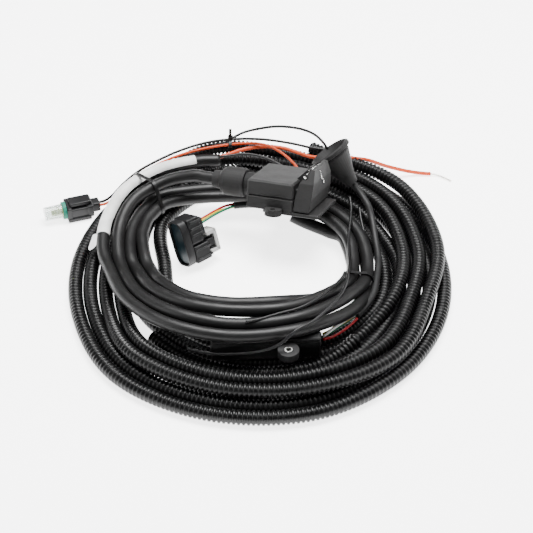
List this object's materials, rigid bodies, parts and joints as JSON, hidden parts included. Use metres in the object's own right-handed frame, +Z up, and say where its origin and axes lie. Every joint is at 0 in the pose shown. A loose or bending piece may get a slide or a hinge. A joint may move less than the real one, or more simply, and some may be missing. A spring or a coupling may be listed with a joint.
{
  "type": "coiled towing harness with control module",
  "caption": "Coiled towing harness: jacketed cable and corrugated conduit joining a potted control module, a lidded flat trailer socket, sealed connectors and a bulkhead grommet.",
  "frame": {"origin": "on the floor under the middle of the whole outline", "axes": "+Z up from the floor the coil lies on; +X towards the right of the picture, along the coil's longest extent; +Y away from the viewer"},
  "size_m": [0.3923, 0.3713, 0.0896],
  "materials": {
    "boot_collar": "moulded",
    "branch_lead": "extruded, soft sheen",
    "bulkhead_grommet": "moulded rubber",
    "cable_coil": "jacketed cable, satin",
    "cable_label": "wrapped film label",
    "cable_tie_back": "moulded nylon",
    "cable_tie_left": "moulded nylon",
    "cable_tie_right": "moulded nylon",
    "conduit_coil": "extruded, soft sheen",
    "connector_body": "moulded",
    "connector_face_seal": "silicone",
    "connector_latch": "moulded",
    "connector_lead_green": "PVC insulation",
    "connector_lead_red": "PVC insulation",
    "connector_lead_yellow": "PVC insulation",
    "connector_lock": "moulded",
    "connector_sheath": "extruded, soft sheen",
    "connector_terminal_block": "moulded",
    "connector_wire_seal": "silicone",
    "contact_blade_1": "stamped",
    "contact_blade_2": "stamped",
    "contact_blade_3": "stamped",
    "contact_blade_4": "stamped",
    "contact_blade_5": "stamped",
    "contact_blade_6": "stamped",
    "contact_blade_7": "stamped",
    "contact_carrier": "moulded",
    "crossing_lead_long": "extruded, soft sheen",
    "crossing_lead_short": "extruded, soft sheen",
    "feed_lead": "PVC insulation",
    "feed_stripped_end": "tinned strands",
    "lid_hinge_pin": "plated",
    "lid_seal": "moulded rubber",
    "lid_spring": "plated",
    "loop_lead": "extruded, soft sheen",
    "module_board": "lacquered board",
    "module_cover": "moulded, fine texture",
    "module_housing": "moulded, fine texture",
    "module_lead_green": "PVC insulation",
    "module_lead_red": "PVC insulation",
    "module_lead_white": "PVC insulation",
    "module_lead_yellow": "PVC insulation",
    "module_lug_bush": "plated",
    "module_relay": "moulded",
    "module_sheath": "extruded, soft sheen",
    "module_wire_seal": "moulded rubber",
    "sensor_connector_body": "moulded",
    "sensor_connector_cap": "clear moulded plastic",
    "sensor_connector_insert": "moulded",
    "sensor_connector_latch": "moulded",
    "sensor_connector_seal": "silicone",
    "sensor_lead_black": "extruded, soft sheen",
    "sensor_lead_orange": "PVC insulation",
    "side_lead": "extruded, soft sheen",
    "socket_base": "moulded",
    "socket_boot": "moulded rubber",
    "socket_housing": "moulded, fine texture",
    "socket_lead": "jacketed cable, satin",
    "socket_lid": "moulded, fine texture"
  },
  "bodies": {
    "harness": {"boot_collar": "boot_collar", "branch_lead": "branch_lead", "bulkhead_grommet": "bulkhead_grommet", "cable_coil": "cable_coil", "cable_label": "cable_label", "cable_tie_back": "cable_tie_back", "cable_tie_left": "cable_tie_left", "cable_tie_right": "cable_tie_right", "conduit_coil": "conduit_coil", "connector_body": "connector_body", "connector_face_seal": "connector_face_seal", "connector_lead_green": "connector_lead_green", "connector_lead_red": "connector_lead_red", "connector_lead_yellow": "connector_lead_yellow", "connector_sheath": "connector_sheath", "connector_terminal_block": "connector_terminal_block", "connector_wire_seal": "connector_wire_seal", "contact_blade_1": "contact_blade_1", "contact_blade_2": "contact_blade_2", "contact_blade_3": "contact_blade_3", "contact_blade_4": "contact_blade_4", "contact_blade_5": "contact_blade_5", "contact_blade_6": "contact_blade_6", "contact_blade_7": "contact_blade_7", "contact_carrier": "contact_carrier", "crossing_lead_long": "crossing_lead_long", "crossing_lead_short": "crossing_lead_short", "feed_lead": "feed_lead", "feed_stripped_end": "feed_stripped_end", "lid_hinge_pin": "lid_hinge_pin", "lid_spring": "lid_spring", "loop_lead": "loop_lead", "module_board": "module_board", "module_cover": "module_cover", "module_housing": "module_housing", "module_lead_green": "module_lead_green", "module_lead_red": "module_lead_red", "module_lead_white": "module_lead_white", "module_lead_yellow": "module_lead_yellow", "module_lug_bush": "module_lug_bush", "module_relay": "module_relay", "module_sheath": "module_sheath", "module_wire_seal": "module_wire_seal", "sensor_connector_body": "sensor_connector_body", "sensor_connector_insert": "sensor_connector_insert", "sensor_connector_seal": "sensor_connector_seal", "sensor_lead_black": "sensor_lead_black", "sensor_lead_orange": "sensor_lead_orange", "side_lead": "side_lead", "socket_base": "socket_base", "socket_boot": "socket_boot", "socket_housing": "socket_housing", "socket_lead": "socket_lead"},
    "lid": {"socket_lid": "socket_lid", "lid_seal": "lid_seal"},
    "terminal_lock": {"connector_lock": "connector_lock"},
    "main_latch": {"connector_latch": "connector_latch"},
    "sensor_latch": {"sensor_connector_latch": "sensor_connector_latch"},
    "sensor_cap": {"sensor_connector_cap": "sensor_connector_cap"}
  },
  "joints": [
    {"name": "lid_hinge", "type": "hinge", "parent": "harness", "child": "lid", "pos_m": [0.05708, 0.06559, 0.07733], "axis": [-0.3384, -0.8851, 0.3196], "range_deg": [0, 90], "stiffness_Nm_per_rad": 0.02, "springref_deg": -28.65},
    {"name": "lock_slide", "type": "slide", "parent": "harness", "child": "terminal_lock", "axis": [0.7604, 0.6494, 0], "range_m": [0, 0.0025]},
    {"name": "main_latch_flex", "type": "hinge", "parent": "harness", "child": "main_latch", "pos_m": [-0.03947, 0.04244, 0.01613], "axis": [0.6013, -0.704, 0.3778], "range_deg": [0, 6], "stiffness_Nm_per_rad": 0.05},
    {"name": "sensor_latch_flex", "type": "hinge", "parent": "harness", "child": "sensor_latch", "pos_m": [-0.15002, 0.10516, 0.0186], "axis": [-0.3256, 0.9455, 0], "range_deg": [0, 8], "stiffness_Nm_per_rad": 0.05},
    {"name": "sensor_cap_pull", "type": "slide", "parent": "harness", "child": "sensor_cap", "axis": [-0.9455, -0.3256, 0], "range_m": [0, 0.02]}
  ]
}
